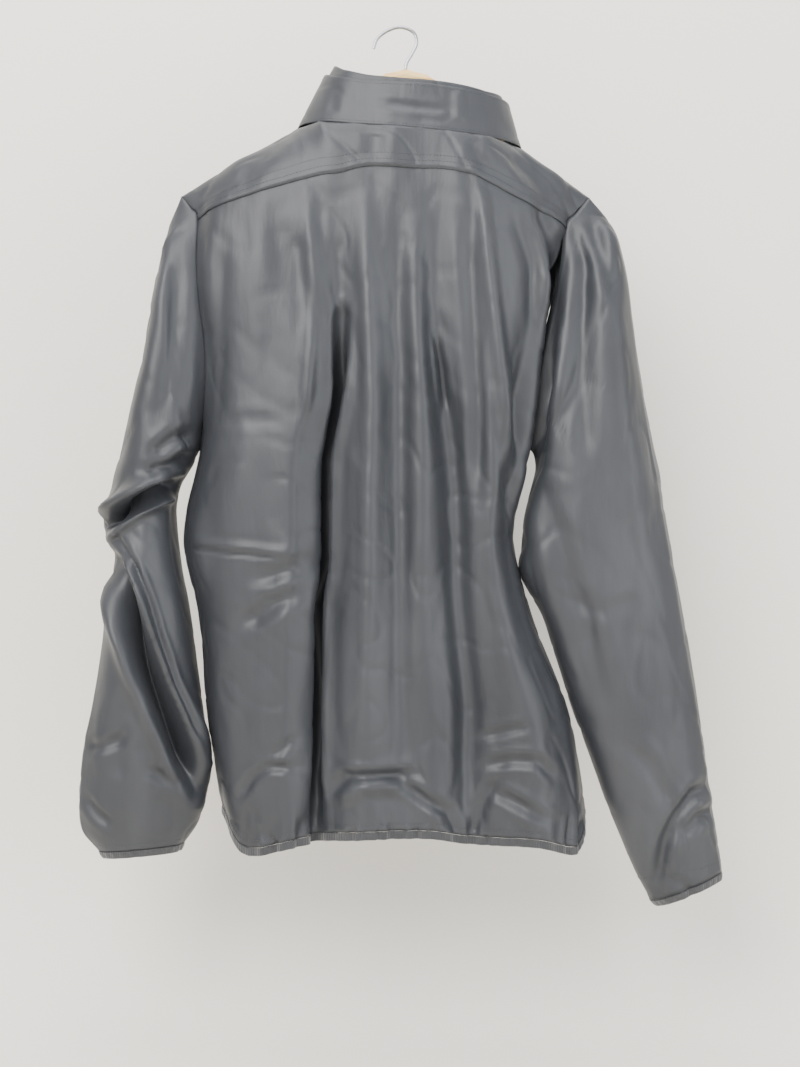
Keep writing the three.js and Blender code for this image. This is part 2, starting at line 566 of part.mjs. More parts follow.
function hangerHook() {
  const curve = new THREE.CatmullRomCurve3(hookPath.map(([x, z]) => point(x, 0, z)));
  const steps = 28, sides = 10;
  const rings = Array.from({ length: steps + 1 }, (_, i) => {
    const at = curve.getPoint(i / steps), way = curve.getTangent(i / steps);
    const side = point(0, 1, 0), up = side.clone().cross(way).normalize();
    return Array.from({ length: sides }, (__, k) => {
      const turn = (k / sides) * Math.PI * 2;
      return at.clone().addScaledVector(side, wireRadius * Math.cos(turn))
        .addScaledVector(up, wireRadius * Math.sin(turn));
    });
  });
  return loft('hanger_hook', rings, steel);
}

const jacket = new THREE.Group();
jacket.name = 'rain_jacket_on_hanger';
jacket.add(
  hangerWood(), hangerHook(),
  shell('back_yoke', yokeGrid, clothThick, cloth, { beyond: past.yoke }),
  shell('back_panel', backGrid, clothThick, cloth, { beyond: past.back }),
  shell('front_left', frontGrids.left, clothThick, cloth, { beyond: pastFront('left') }),
  shell('front_right', frontGrids.right, clothThick, cloth, { beyond: pastFront('right') }),
  shell('sleeve_left', sleeveGrids.left, clothThick, cloth,
    { ring: true, beyond: pastSleeve('left') }),
  shell('sleeve_right', sleeveGrids.right, clothThick, cloth,
    { ring: true, beyond: pastSleeve('right') }),
  shell('cuff_binding_left', cuffGrid('left'), clothThick, elastic, { ring: true }),
  shell('cuff_binding_right', cuffGrid('right'), clothThick, elastic, { ring: true }),
  shell('hem_binding', hemGrid, clothThick, elastic, { beyond: { top: hemAbove } }),
  shell('collar_outer', collarOuterGrid, clothThick, cloth),
  shell('collar_inner', collarInnerGrid, clothThick, cloth),
  shell('zip_tape_left', tapeGrids.left, tapeThick, tape),
  shell('zip_tape_right', tapeGrids.right, tapeThick, tape),
  slider(), pullTab(),
);

export default jacket;
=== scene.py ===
import math
import random

import bmesh
import bpy
import numpy as np
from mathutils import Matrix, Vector, noise


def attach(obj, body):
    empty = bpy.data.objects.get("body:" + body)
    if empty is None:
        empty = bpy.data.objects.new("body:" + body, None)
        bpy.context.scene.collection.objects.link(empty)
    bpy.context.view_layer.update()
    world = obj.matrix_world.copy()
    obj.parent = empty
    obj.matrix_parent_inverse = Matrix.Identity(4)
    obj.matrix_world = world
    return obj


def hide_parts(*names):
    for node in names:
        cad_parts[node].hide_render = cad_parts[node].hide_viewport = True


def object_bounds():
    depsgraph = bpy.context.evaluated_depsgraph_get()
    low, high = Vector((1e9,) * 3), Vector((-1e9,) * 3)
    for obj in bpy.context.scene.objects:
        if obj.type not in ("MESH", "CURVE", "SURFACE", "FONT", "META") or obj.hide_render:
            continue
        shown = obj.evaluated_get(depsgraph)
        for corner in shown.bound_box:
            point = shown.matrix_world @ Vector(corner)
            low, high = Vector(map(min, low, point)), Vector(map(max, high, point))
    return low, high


# A rain jacket zipped shut on a flat wooden hanger. Metres in the scene, millimetres in the tables.
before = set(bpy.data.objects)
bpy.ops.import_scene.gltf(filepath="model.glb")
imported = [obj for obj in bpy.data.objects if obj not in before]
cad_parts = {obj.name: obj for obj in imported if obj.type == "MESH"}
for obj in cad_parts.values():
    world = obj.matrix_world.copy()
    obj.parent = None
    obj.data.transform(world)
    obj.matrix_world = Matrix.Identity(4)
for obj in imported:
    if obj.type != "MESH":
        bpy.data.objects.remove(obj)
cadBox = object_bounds()
random.seed(7)

general = {
    "hookAside": 7.0,      # the neck's middle stands this far to -X of the hook
    "underarm": -412.0,
    "hemTall": 8.0,
    "cuffTall": 7.0,
    "clothThick": 0.5,
    "bindingThick": 1.2,
    "seamGap": 0.3,
    "levels": [-160, -240, -330, -420, -500, -580, -680, -790],
    # rows of control points: over the yoke, to the underarm, to the hem, over the shoulder in front
    "yokeRows": 4,
    "upperRows": 6,
    "lowerRows": 14,
    "turnRows": 3,
    "turnReach": 58.0,     # the front turns over the shoulder within this height
    "shutReach": 70.0,     # the side lines close to the seam within this height over the underarm
}

# lines down the back: height of the yoke seam, height of the hem, top point,
# then x and y at each of the levels
backColumns = ("seam", "hem", "top", "xs", "ys")
backLines = [dict(zip(backColumns, line)) for line in (
    (-186, -771, (222, 0, -165), (204, 204, 196, 205, 221, 205, 196, 177),
     (6, 20, 18, 14, 0, 0, 0, 0)),
    (-172, -805, (163, 0, -129), (172, 178, 172, 182, 196, 184, 174, 158),
     (34, 42, 42, 38, 36, 34, 34, 37)),
    (-150, -797, (108, 0, -99), (94, 93, 95, 108, 110, 114, 116, 112),
     (46, 51, 56, 58, 58, 58, 57, 57)),
    (-146, -794, (86, 30, -97), (66, 66, 68, 82, 83, 88, 93, 88),
     (49, 47, 40, 31, 27, 26, 25, 30)),
    (-140, -789, (52, 42, -101), (40, 42, 38, 42, 44, 46, 48, 46),
     (50, 55, 60, 62, 62, 61, 60, 58)),
    (-141, -788, (12, 47, -104.5), (10, 12, 10, 8, 6, 6, 6, 6),
     (50, 51, 52, 52, 51, 51, 50, 53)),
    (-142, -788, (-12, 47, -106.5), (-12, -8, -12, -18, -18, -18, -24, -26),
     (50, 53, 57, 57, 56, 55, 54, 57)),
    (-143, -795, (-40, 45, -109), (-36, -30, -32, -43, -47, -50, -62, -60),
     (50, 48, 44, 38, 36, 36, 37, 41)),
    (-150, -796, (-80, 34, -112.5), (-66, -78, -84, -84, -80, -90, -116, -122),
     (48, 55, 57, 54, 52, 52, 54, 56)),
    (-173, -806, (-112, 0, -118), (-116, -116, -108, -102, -95, -111, -146, -160),
     (32, 38, 38, 33, 30, 31, 34, 36)),
    (-184, -796, (-145, 0, -142), (-140, -134, -120, -111, -101, -119, -155, -171),
     (20, 29, 26, 20, 18, 19, 22, 24)),
    (-194, -774, (-178, 0, -166), (-158, -148, -129, -118, -104, -124, -160, -177),
     (6, 14, 10, 8, 0, 0, 0, 0)),
)]
zipY = (-57, -57, -56, -55, -54, -53, -52, -52)
# lines down the fronts, from the side seam to the zip
frontColumns = ("hem", "top", "xs", "ys")
frontLines = {
    "Left": [dict(zip(frontColumns, line)) for line in (
        (-771, (222, 0, -165), backLines[0]["xs"], (-6, -20, -18, -14, 0, 0, 0, 0)),
        (-803, (163, 0, -129), (172, 180, 172, 180, 194, 180, 172, 154),
         (-28, -38, -40, -38, -36, -34, -34, -36)),
        (-800, (108, 0, -99), (120, 122, 114, 120, 130, 124, 118, 108),
         (-36, -46, -52, -53, -51, -50, -48, -50)),
        (-797, (84, -30, -118), (82, 78, 76, 80, 86, 84, 80, 76),
         (-44, -45, -40, -36, -33, -33, -34, -38)),
        (-793, (50, -50, -146), (44, 42, 42, 44, 46, 46, 44, 42),
         (-54, -55, -56, -57, -57, -56, -54, -53)),
        (-790, (22, -57.5, -161), (22,) * 8, zipY),
        (-790, (6, -57.5, -163), (6,) * 8, zipY),
    )],
    "Right": [dict(zip(frontColumns, line)) for line in (
        (-774, (-178, 0, -166), backLines[11]["xs"], (-6, -14, -10, -8, 0, 0, 0, 0)),
        (-803, (-145, 0, -142), (-134, -128, -112, -102, -92, -108, -142, -158),
         (-28, -36, -36, -32, -30, -31, -34, -36)),
        (-800, (-112, 0, -118), (-104, -102, -92, -86, -80, -90, -114, -124),
         (-38, -46, -50, -50, -49, -48, -48, -50)),
        (-797, (-88, -30, -134), (-76, -74, -70, -66, -62, -68, -82, -88),
         (-46, -45, -40, -36, -34, -34, -35, -38)),
        (-793, (-52, -50, -152), (-44, -44, -44, -42, -42, -44, -46, -46),
         (-54, -55, -56, -57, -57, -56, -54, -53)),
        (-790, (-22, -57.5, -163), (-22,) * 8, zipY),
        (-790, (-6, -57.5, -164), (-6,) * 8, zipY),
    )],
}
# sleeve sections: outer x and z, inner x and z, half depth, middle's y
sleeveSections = {
    "Left": [
        (238, -208, 209, -424, 36, 0), (249, -285, 213, -431, 42, 0), (264, -350, 218, -438, 46, -2),
        (281, -417, 223, -445, 48, -4), (294, -463, 226, -452, 47, -6), (298, -492, 228, -461, 42, -8),
        (287, -514, 229, -477, 44, -8), (293, -560, 224, -520, 47, -6), (300, -612, 213, -575, 46, -4),
        (309, -662, 206, -630, 42, -2), (318, -710, 199, -682, 38, 0), (322, -752, 193, -730, 35, 2),
        (320, -786, 204, -776, 29, 2), (303, -807, 220, -799, 22, 2),
    ],
    "Right": [
        (-200, -194, -124, -422, 34, 0), (-212, -232, -125, -434, 38, 0), (-221, -282, -122, -448, 41, 0),
        (-229, -335, -118, -464, 43, 0), (-238, -390, -114, -484, 44, 0), (-248, -440, -112, -508, 44, 0),
        (-256, -492, -110, -532, 43, 0), (-265, -545, -120, -556, 42, 0), (-272, -592, -135, -584, 41, 0),
        (-281, -645, -150, -628, 40, 0), (-290, -695, -166, -678, 38, 0), (-298, -745, -186, -732, 35, 0),
        (-304, -790, -204, -784, 31, 0), (-309, -827, -237, -856, 24, 0),
    ],
}
# collar top edge: x, y, z and how far the inner layer rises above it
collarTops = [
    (-6, -57, -112, 4), (-21, -56.5, -111, 4), (-50, -46, -103, 5), (-82, -27, -91, 6),
    (-100, 0, -76, 7), (-78, 29, -70.5, 4), (-44, 40, -66, 5), (-18, 43, -63, 4.5), (6, 43, -61.5, 4.5),
    (42, 38, -58.5, 5.5), (68, 26, -53, 7), (82, 0, -48, 9), (68, -27, -76, 7), (44, -46, -98, 5),
    (21, -56.5, -109, 4), (6, -57, -111, 4),
]

# creases, listed one by one: path of (x, z), width, and depth, which is below 0 for a ridge
backFolds = [
    {"path": [(63, -285), (67, -354), (80, -425), (81, -522), (88, -564), (89, -640), (90, -733), (87, -792)],
     "wide": 5.5, "deep": 22},
    {"path": [(76, -300), (80, -360), (94, -430), (94, -520), (101, -580), (103, -700), (100, -790)],
     "wide": 5, "deep": -4},
    {"path": [(-28, -300), (-37, -374), (-44, -448), (-46, -545), (-58, -661), (-57, -746), (-60, -785)],
     "wide": 9, "deep": 6},
    {"path": [(-28, -308), (-33, -340), (-37, -376)], "wide": 2.6, "deep": 6},
    {"path": [(110, -205), (100, -250), (82, -301)], "wide": 8, "deep": 4},
    {"path": [(128, -190), (118, -240), (92, -310)], "wide": 9, "deep": 3},
    {"path": [(95, -160), (92, -300), (97, -400)], "wide": 6, "deep": -3},
    {"path": [(41, -170), (34, -369), (38, -561), (42, -700)], "wide": 7, "deep": -3.5},
    {"path": [(-10, -170), (-12, -360), (-14, -560)], "wide": 9, "deep": -3},
    {"path": [(14, -180), (10, -330), (10, -560), (8, -700)], "wide": 8, "deep": 3},
    {"path": [(-64, -146), (-72, -180), (-82, -273), (-93, -369), (-104, -470)],
     "wide": 5.5, "deep": -5.5},
    {"path": [(-56, -190), (-62, -280), (-68, -380), (-66, -470)], "wide": 6, "deep": 4.5},
    {"path": [(150, -190), (152, -300), (158, -420), (168, -500)], "wide": 14, "deep": -3},
    {"path": [(180, -210), (182, -320), (186, -400)], "wide": 8, "deep": 3},
    {"path": [(213, -509), (177, -514), (151, -516), (116, -520)], "wide": 1.8, "deep": 3.6},
    {"path": [(212, -503), (176, -508), (150, -510), (117, -514)], "wide": 4, "deep": -1.5},
    {"path": [(101, -525), (120, -533), (141, -541)], "wide": 8, "deep": 5},
    {"path": [(106, -549), (130, -564), (158, -585)], "wide": 8, "deep": 5},
    {"path": [(182, -388), (150, -386), (122, -389)], "wide": 5, "deep": 1.5},
    {"path": [(162, -750), (150, -732), (134, -719), (108, -719)], "wide": 4, "deep": 4},
    {"path": [(128, -709), (110, -692)], "wide": 4, "deep": 3},
    {"path": [(140, -780), (118, -804)], "wide": 4, "deep": 3},
    {"path": [(73, -745), (60, -728), (35, -728), (-9, -726)], "wide": 5, "deep": 5},
    {"path": [(70, -752), (40, -738), (0, -738)], "wide": 6, "deep": -3},
    {"path": [(12, -731), (-19, -752), (-39, -762), (-47, -788)], "wide": 5, "deep": 5},
    {"path": [(-70, -692), (-92, -686), (-114, -680)], "wide": 4, "deep": 3},
    {"path": [(-74, -719), (-100, -713), (-126, -714), (-142, -733)], "wide": 5, "deep": 4},
    {"path": [(-83, -743), (-110, -757), (-135, -770)], "wide": 5, "deep": 4},
    {"path": [(-60, -790), (-72, -755), (-84, -730)], "wide": 5, "deep": 4},
    {"path": [(-122, -175), (-138, -205), (-141, -262)], "wide": 6, "deep": 5},
    {"path": [(-104, -190), (-120, -235), (-124, -300)], "wide": 7, "deep": 4},
    {"path": [(-110, -330), (-104, -400), (-96, -470)], "wide": 6, "deep": 4},
    {"path": [(-150, -212), (-142, -300), (-128, -400), (-114, -480)], "wide": 7, "deep": 17},
    {"path": [(-136, -215), (-128, -300), (-112, -400), (-98, -480)], "wide": 6, "deep": -3},
]
yokeFolds = [
    {"path": [(118, -112), (140, -132), (165, -160)], "wide": 9, "deep": 2},
    {"path": [(30, -112), (34, -135)], "wide": 8, "deep": 1.5},
    {"path": [(-60, -118), (-74, -145)], "wide": 6, "deep": 2},
    {"path": [(-100, -128), (-128, -158), (-140, -184)], "wide": 7, "deep": 4},
    {"path": [(-120, -135), (-150, -170)], "wide": 7, "deep": 3},
]
sleeveFolds = {
    "Left": [
        {"path": [(222, -446), (245, -457), (270, -472), (300, -492)], "wide": 5.5, "deep": 24},
        {"path": [(226, -434), (250, -446), (296, -476)], "wide": 8, "deep": -5},
        {"path": [(206, -418), (226, -430), (252, -440)], "wide": 6, "deep": 7},
        {"path": [(206, -400), (224, -404), (244, -420)], "wide": 6, "deep": 5},
        {"path": [(280, -522), (266, -580), (250, -628), (224, -690), (202, -745)],
         "wide": 8.5, "deep": 32},
        {"path": [(290, -502), (270, -522), (257, -556), (247, -592), (232, -640), (206, -700)],
         "wide": 5, "deep": -6},
        {"path": [(280, -500), (262, -528), (250, -560), (241, -592), (226, -640), (196, -715)],
         "wide": 3, "deep": 9},
        {"path": [(312, -704), (290, -700), (270, -691)], "wide": 5, "deep": 4},
        {"path": [(252, -722), (236, -732), (218, -740)], "wide": 5, "deep": 4},
        {"path": [(313, -752), (300, -768), (286, -778)], "wide": 5, "deep": 4},
        {"path": [(240, -250), (252, -340), (268, -400)], "wide": 10, "deep": -4},
        {"path": [(222, -230), (226, -320), (232, -390)], "wide": 9, "deep": 4},
        {"path": [(262, -640), (278, -690), (280, -740)], "wide": 9, "deep": 3},
    ],
    "Right": [
        {"path": [(-148, -240), (-136, -330), (-120, -430)], "wide": 8, "deep": 12},
        {"path": [(-160, -215), (-147, -290), (-146, -350), (-128, -400)], "wide": 8, "deep": -6},
        {"path": [(-196, -215), (-204, -320), (-214, -420), (-226, -520)], "wide": 14, "deep": -5},
        {"path": [(-170, -240), (-168, -330), (-170, -430)], "wide": 9, "deep": 5},
        {"path": [(-178, -186), (-190, -230), (-198, -268)], "wide": 6, "deep": 4},
        {"path": [(-162, -196), (-172, -240)], "wide": 5, "deep": 4},
        {"path": [(-130, -450), (-150, -520), (-176, -600), (-196, -690)], "wide": 10, "deep": 4},
        {"path": [(-239, -846), (-249, -793), (-258, -774), (-278, -748), (-296, -739)],
         "wide": 6, "deep": 8},
        {"path": [(-262, -790), (-282, -770), (-300, -768)], "wide": 6, "deep": 6},
        {"path": [(-247, -826), (-261, -833), (-278, -843)], "wide": 4, "deep": 3},
        {"path": [(-212, -700), (-236, -722), (-252, -760)], "wide": 7, "deep": 3},
        {"path": [(-150, -560), (-190, -570), (-230, -560)], "wide": 8, "deep": 2},
    ],
}
collarFolds = [
    {"path": [(25, -82), (-10, -87), (-40, -90)], "wide": 4, "deep": 1.6},
    {"path": [(-8, -98), (-40, -101)], "wide": 4, "deep": 1.4},
    {"path": [(-49, -68), (-49, -102)], "wide": 5, "deep": -1.6},
    {"path": [(70, -62), (74, -90)], "wide": 5, "deep": 1.2},
]


def alongLevels(values, z):
    # smooth value of a table's column at height z
    levels = general["levels"]
    last = len(levels) - 1
    i = 0
    while i < last - 1 and z < levels[i + 1]:
        i += 1
    span = levels[i + 1] - levels[i]
    t = min(max((z - levels[i]) / span, 0), 1)
    slopes = []
    for k in (i, i + 1):
        a, b = max(k - 1, 0), min(k + 1, last)
        slopes.append((values[b] - values[a]) / (levels[b] - levels[a]) * span)
    return ((2 * t**3 - 3 * t**2 + 1) * values[i] + (t**3 - 2 * t**2 + t) * slopes[0]
            + (3 * t**2 - 2 * t**3) * values[i + 1] + (t**3 - t**2) * slopes[1])


def linePoint(line, z, reach, closes):
    # point of a line at height z; it turns over the shoulder within reach below its top
    top, xs, ys = line["top"], line["xs"], line["ys"]
    down = min((top[2] - z) / reach, 1)
    over = math.sqrt(1 - (1 - down) ** 2)
    shut = math.sqrt(min(max((z - general["underarm"]) / general["shutReach"], 0), 1)) if closes else 1
    return (top[0] + (alongLevels(xs, z) - top[0]) * down,
            top[1] + (alongLevels(ys, z) * shut - top[1]) * over, z)


def heightsDown(line, reach, turnRows):
    # heights of a line's control points, from its top to the hem
    top, low = line["top"][2], line["hem"] + general["hemTall"]
    underarm, upper, lower = general["underarm"], general["upperRows"], general["lowerRows"]
    turn = [top - reach * (1 - math.cos(i / turnRows * math.pi / 2)) for i in range(turnRows)]
    bend = top - reach
    return (turn + [bend + (underarm - bend) * i / upper for i in range(upper)]
            + [underarm + (low - underarm) * i / lower for i in range(lower + 1)])


def bodyControls(lines, back):
    # rows of control points, one column for each line
    columns = []
    for k, line in enumerate(lines):
        reach = line["top"][2] - line["seam"] if back else general["turnReach"]
        rows = general["yokeRows"] if back else general["turnRows"]
        closes = k == 0 or (back and k == len(lines) - 1)
        columns.append([linePoint(line, z, reach, closes) for z in heightsDown(line, reach, rows)])
    return np.array(columns).transpose(1, 0, 2)


def spline(values, steps, ring=False):
    # Catmull-Rom curve through the points of the first axis, with that many steps to each span
    count = len(values)
    spans = count if ring else count - 1
    t = np.arange(spans * steps + (0 if ring else 1)) / steps
    k = np.minimum(np.floor(t).astype(int), spans - 1)
    f = (t - k).reshape((-1,) + (1,) * (values.ndim - 1))
    if ring:
        pick = [values[(k + d) % count] for d in (-1, 0, 1, 2)]
    else:
        first = 2 * values[0] - values[1]
        last = 2 * values[-1] - values[-2]
        padded = np.concatenate([first[None], values, last[None]])
        pick = [padded[k + d] for d in (0, 1, 2, 3)]
    a, b, c, d = pick
    smooth = 0.5 * (2 * b + (c - a) * f + (2 * a - 5 * b + 4 * c - d) * f**2
                    + (3 * b - a - 3 * c + d) * f**3)
    return smooth, b + (c - b) * f


def refine(controls, rowSteps, columnSteps, ring=False, straightRows=0):
    # fine grid from control rows; the first rows run straight between their lines
    smooth, straight = spline(controls.transpose(1, 0, 2), columnSteps, ring)
    rows = len(controls)
    share = np.ones(rows) if straightRows == 0 else np.minimum(np.arange(rows) / straightRows, 1)
    grid = straight + (smooth - straight) * share[None, :, None]
    return spline(grid.transpose(1, 0, 2), rowSteps)[0]


def normalsOf(grid, ring=False):
    # unit normals that point out of the jacket
    if ring:
        across = np.roll(grid, -1, axis=1) - np.roll(grid, 1, axis=1)
    else:
        across = np.gradient(grid, axis=1)
    normals = np.cross(across, np.gradient(grid, axis=0))
    normals /= np.maximum(np.linalg.norm(normals, axis=2, keepdims=True), 1e-9)
    centre = grid.mean(axis=1, keepdims=True) * np.array([1, 0, 1])
    if np.sum(normals * (grid - centre)) < 0:
        normals = -normals
    return normals


# profile of a crease: how it fades at its ends, and the low banks on both sides of it
crease = {"endShare": 0.18, "endDepth": 0.25, "bankTall": 0.3, "bankAt": 2.0, "bankSharp": 1.5}


def foldSink(folds, x, z):
    # how far the listed creases sink the cloth, in millimetres
    sink = np.zeros_like(x)
    for fold in folds:
        path = np.array(fold["path"], float)
        best = np.full(x.shape, 1e9)
        place = np.zeros_like(x)
        lengths = np.linalg.norm(np.diff(path, axis=0), axis=1)
        total, run = lengths.sum(), 0.0
        for (a, b), length in zip(zip(path[:-1], path[1:]), lengths):
            way = (b - a) / length
            t = np.clip((x - a[0]) * way[0] + (z - a[1]) * way[1], 0, length)
            away = np.hypot(x - a[0] - way[0] * t, z - a[1] - way[1] * t)
            nearer = away < best
            best = np.where(nearer, away, best)
            place = np.where(nearer, (run + t) / total, place)
            run += length
        ends = np.clip(np.minimum(place, 1 - place) / crease["endShare"], 0, 1)
        fade = crease["endDepth"] + (1 - crease["endDepth"]) * ends * ends * (3 - 2 * ends)
        near = best / fold["wide"]
        bank = crease["bankTall"] * np.exp(-((near - crease["bankAt"]) ** 2) * crease["bankSharp"])
        sink += fold["deep"] * fade * (np.exp(-near**2) - bank)
    return sink


# how fast the swelling changes along x, y and z, for each millimetre
swelling = {
    "streak": (0.035, 0.02, 0.0045),
    "crumple": (0.05, 0.05, 0.03),
    "crisp": (0.024, 0.03, 0.02),
    "crispSlant": 0.012,
    "crispBand": 0.12,       # a crinkle lies where the noise is this near to nought
    "crispGain": 8,
}


def rumple(points, settings):
    # soft uneven swelling of the cloth: long streaks down it and small crumples
    out = np.empty(len(points))
    streakX, streakY, streakZ = swelling["streak"]
    crumpleX, crumpleY, crumpleZ = swelling["crumple"]
    crispX, crispY, crispZ = swelling["crisp"]
    for n, (x, y, z) in enumerate(points):
        streak = noise.noise(Vector((x * streakX, y * streakY, z * streakZ)))
        crumple = noise.noise(Vector((x * crumpleX + 9, y * crumpleY, z * crumpleZ)))
        slanted = x * crispX - z * swelling["crispSlant"]
        crisp = abs(noise.noise(Vector((slanted, y * crispY, z * crispZ + 5))))
        crinkle = max(swelling["crispBand"] - crisp, 0) * swelling["crispGain"]
        out[n] = (settings["longSwell"] * streak + settings["smallCrumple"] * crumple
                  - settings["crispCrease"] * crinkle)
    return out


def toScene(points):
    moved = np.array(points, float)
    moved[..., 0] -= general["hookAside"]
    return moved / 1000


def gridPiece(name, grid, thick, ring=False):
    # one sheet of cloth through the grid's points, with its thickness
    rows, columns = grid.shape[:2]
    mesh = bpy.data.meshes.new(name)
    spans = columns if ring else columns - 1
    index = np.arange(rows * columns).reshape(rows, columns)
    faces = [
        (int(index[i, j]), int(index[i, (j + 1) % columns]),
         int(index[i + 1, (j + 1) % columns]), int(index[i + 1, j]))
        for i in range(rows - 1) for j in range(spans)
    ]
    mesh.from_pydata([tuple(p) for p in toScene(grid).reshape(-1, 3)], [], faces)
    mesh.polygons.foreach_set("use_smooth", [True] * len(faces))
    piece = bpy.data.objects.new(name, mesh)
    bpy.context.collection.objects.link(piece)
    wall = piece.modifiers.new("Wall", "SOLIDIFY")
    wall.thickness = thick / 1000
    wall.offset = 0
    return piece


def clothGrid(grid, folds, settings, ring=False):
    # sinks the creases and swells the cloth along its own normals
    normals = normalsOf(grid, ring)
    x, y, z = grid[..., 0], grid[..., 1], grid[..., 2]
    side = 1 / (1 + np.exp((settings["foldsFromY"] - y) / settings["foldsSoft"]))
    sink = foldSink(folds, x, z) * side
    flat = grid.reshape(-1, 3)
    swell = rumple(flat, settings).reshape(x.shape)
    return grid + normals * (swell - sink)[..., None], normals


clothSettings = {
    "longSwell": 2.3,        # long soft folds down the hang
    "smallCrumple": 0.6,
    "crispCrease": 1.0,      # fine sharp crinkles of coated nylon
    "foldsFromY": 6.0,       # the creases lie on the side behind this
    "foldsSoft": 3.0,
}
frontSettings = dict(clothSettings, longSwell=2.0)


def srgb(hexText):
    parts = [int(hexText[i:i + 2], 16) / 255 for i in (1, 3, 5)]
    return tuple(c / 12.92 if c <= 0.04045 else ((c + 0.055) / 1.055) ** 2.4 for c in parts) + (1.0,)


def addNode(tree, kind, values=None, links=None, **settings):
    # adds a node, sets its properties and inputs, and links sockets into its inputs
    node = tree.nodes.new(kind)
    for key, value in settings.items():
        setattr(node, key, value)
    for key, value in (values or {}).items():
        node.inputs[key].default_value = value
    for key, socket in (links or {}).items():
        tree.links.new(socket, node.inputs[key])
    return node


def startMaterial(name, shaderValues):
    material = bpy.data.materials.new(name)
    material.use_nodes = True
    tree = material.node_tree
    shader = tree.nodes["Principled BSDF"]
    for key, value in shaderValues.items():
        shader.inputs[key].default_value = value
    return material, tree, shader


def rampNode(tree, socket, stops):
    ramp = addNode(tree, "ShaderNodeValToRGB", links={"Fac": socket})
    ramp.color_ramp.elements[0].position, ramp.color_ramp.elements[0].color = stops[0]
    ramp.color_ramp.elements[1].position, ramp.color_ramp.elements[1].color = stops[-1]
    for place, colour in stops[1:-1]:
        ramp.color_ramp.elements.new(place).color = colour
    return ramp


def bandScale(pitch):
    # a wave texture's scale for bands that stand this many millimetres apart
    return math.pi / 10 / (pitch / 1000)


def coatedNylon(name, settings):
    # coated nylon taffeta, woven and calendered: a soft satin gloss, a painted sheen of long pale
    # streaks in the base colour that stands for the highlights down the folds, a fine weave and small
    # crinkles
    material, tree, shader = startMaterial(name, {
        "Roughness": settings["roughness"], "IOR": 1.46, "Sheen Weight": 0.03,
        "Sheen Roughness": 0.45, "Sheen Tint": srgb("#c8ccd6"),
    })
    # painted sheen: pale streaks in the base colour, about 40 mm across and 280 mm long, stand for the satin
    # highlights down the folds; clouds 140 mm wide vary the tone at random
    place = addNode(tree, "ShaderNodeTexCoord").outputs["Object"]
    sheenStretched = addNode(tree, "ShaderNodeMapping", {"Scale": (26, 20, 3.6)}, {"Vector": place})
    streak = addNode(tree, "ShaderNodeTexNoise", {"Scale": 1.0, "Detail": 4.0, "Roughness": 0.55},
                     {"Vector": sheenStretched.outputs["Vector"]})
    cloud = addNode(tree, "ShaderNodeTexNoise", {"Scale": 7.0, "Detail": 3.0}, {"Vector": place})
    both = addNode(tree, "ShaderNodeMath", links={0: streak.outputs["Fac"], 1: cloud.outputs["Fac"]},
                   operation="ADD")
    halved = addNode(tree, "ShaderNodeMath", {1: 0.5}, {0: both.outputs[0]}, operation="MULTIPLY")
    # the ramp's pale end paints the sheen streaks into the base colour
    colour = rampNode(tree, halved.outputs[0], [
        (0.34, srgb(settings["dark"])), (0.5, srgb(settings["middle"])), (0.66, srgb(settings["pale"])),
    ])
    tree.links.new(colour.outputs["Color"], shader.inputs["Base Color"])
    # threads stand 0.25 mm apart in the cloth, drawn coarser so that they show
    threads = {"Scale": bandScale(settings["threadPitch"]), "Distortion": 0.4}
    waves = [addNode(tree, "ShaderNodeTexWave", threads,
                     {"Vector": place}, bands_direction=way) for way in ("X", "Z")]
    weave = addNode(tree, "ShaderNodeMath", operation="MULTIPLY",
                    links={0: waves[0].outputs["Fac"], 1: waves[1].outputs["Fac"]})
    # crinkles about 10 mm across, and swells about 37 mm across, both longer down the cloth
    crinkle = addNode(tree, "ShaderNodeTexNoise",
                      {"Scale": 60.0, "Detail": 5.0, "Roughness": 0.6, "Distortion": 0.6},
                      {"Vector": addNode(tree, "ShaderNodeMapping", {"Scale": (1.6, 1.3, 0.55)},
                                         {"Vector": place}).outputs["Vector"]})
    wide = addNode(tree, "ShaderNodeTexNoise", {"Scale": 16.0, "Detail": 3.0, "Distortion": 0.8},
                   {"Vector": addNode(tree, "ShaderNodeMapping", {"Scale": (1.7, 1.3, 0.4)},
                                      {"Vector": place}).outputs["Vector"]})
    bumpWide = addNode(tree, "ShaderNodeBump", {"Strength": 0.2, "Distance": 0.005},
                       {"Height": wide.outputs["Fac"]})
    bumpCrinkle = addNode(tree, "ShaderNodeBump", {"Strength": 0.2, "Distance": 0.0014},
                          {"Height": crinkle.outputs["Fac"], "Normal": bumpWide.outputs["Normal"]})
    bumpWeave = addNode(tree, "ShaderNodeBump", {"Strength": 0.12, "Distance": 0.0001},
                        {"Height": weave.outputs[0], "Normal": bumpCrinkle.outputs["Normal"]})
    tree.links.new(bumpWeave.outputs["Normal"], shader.inputs["Normal"])
    return material


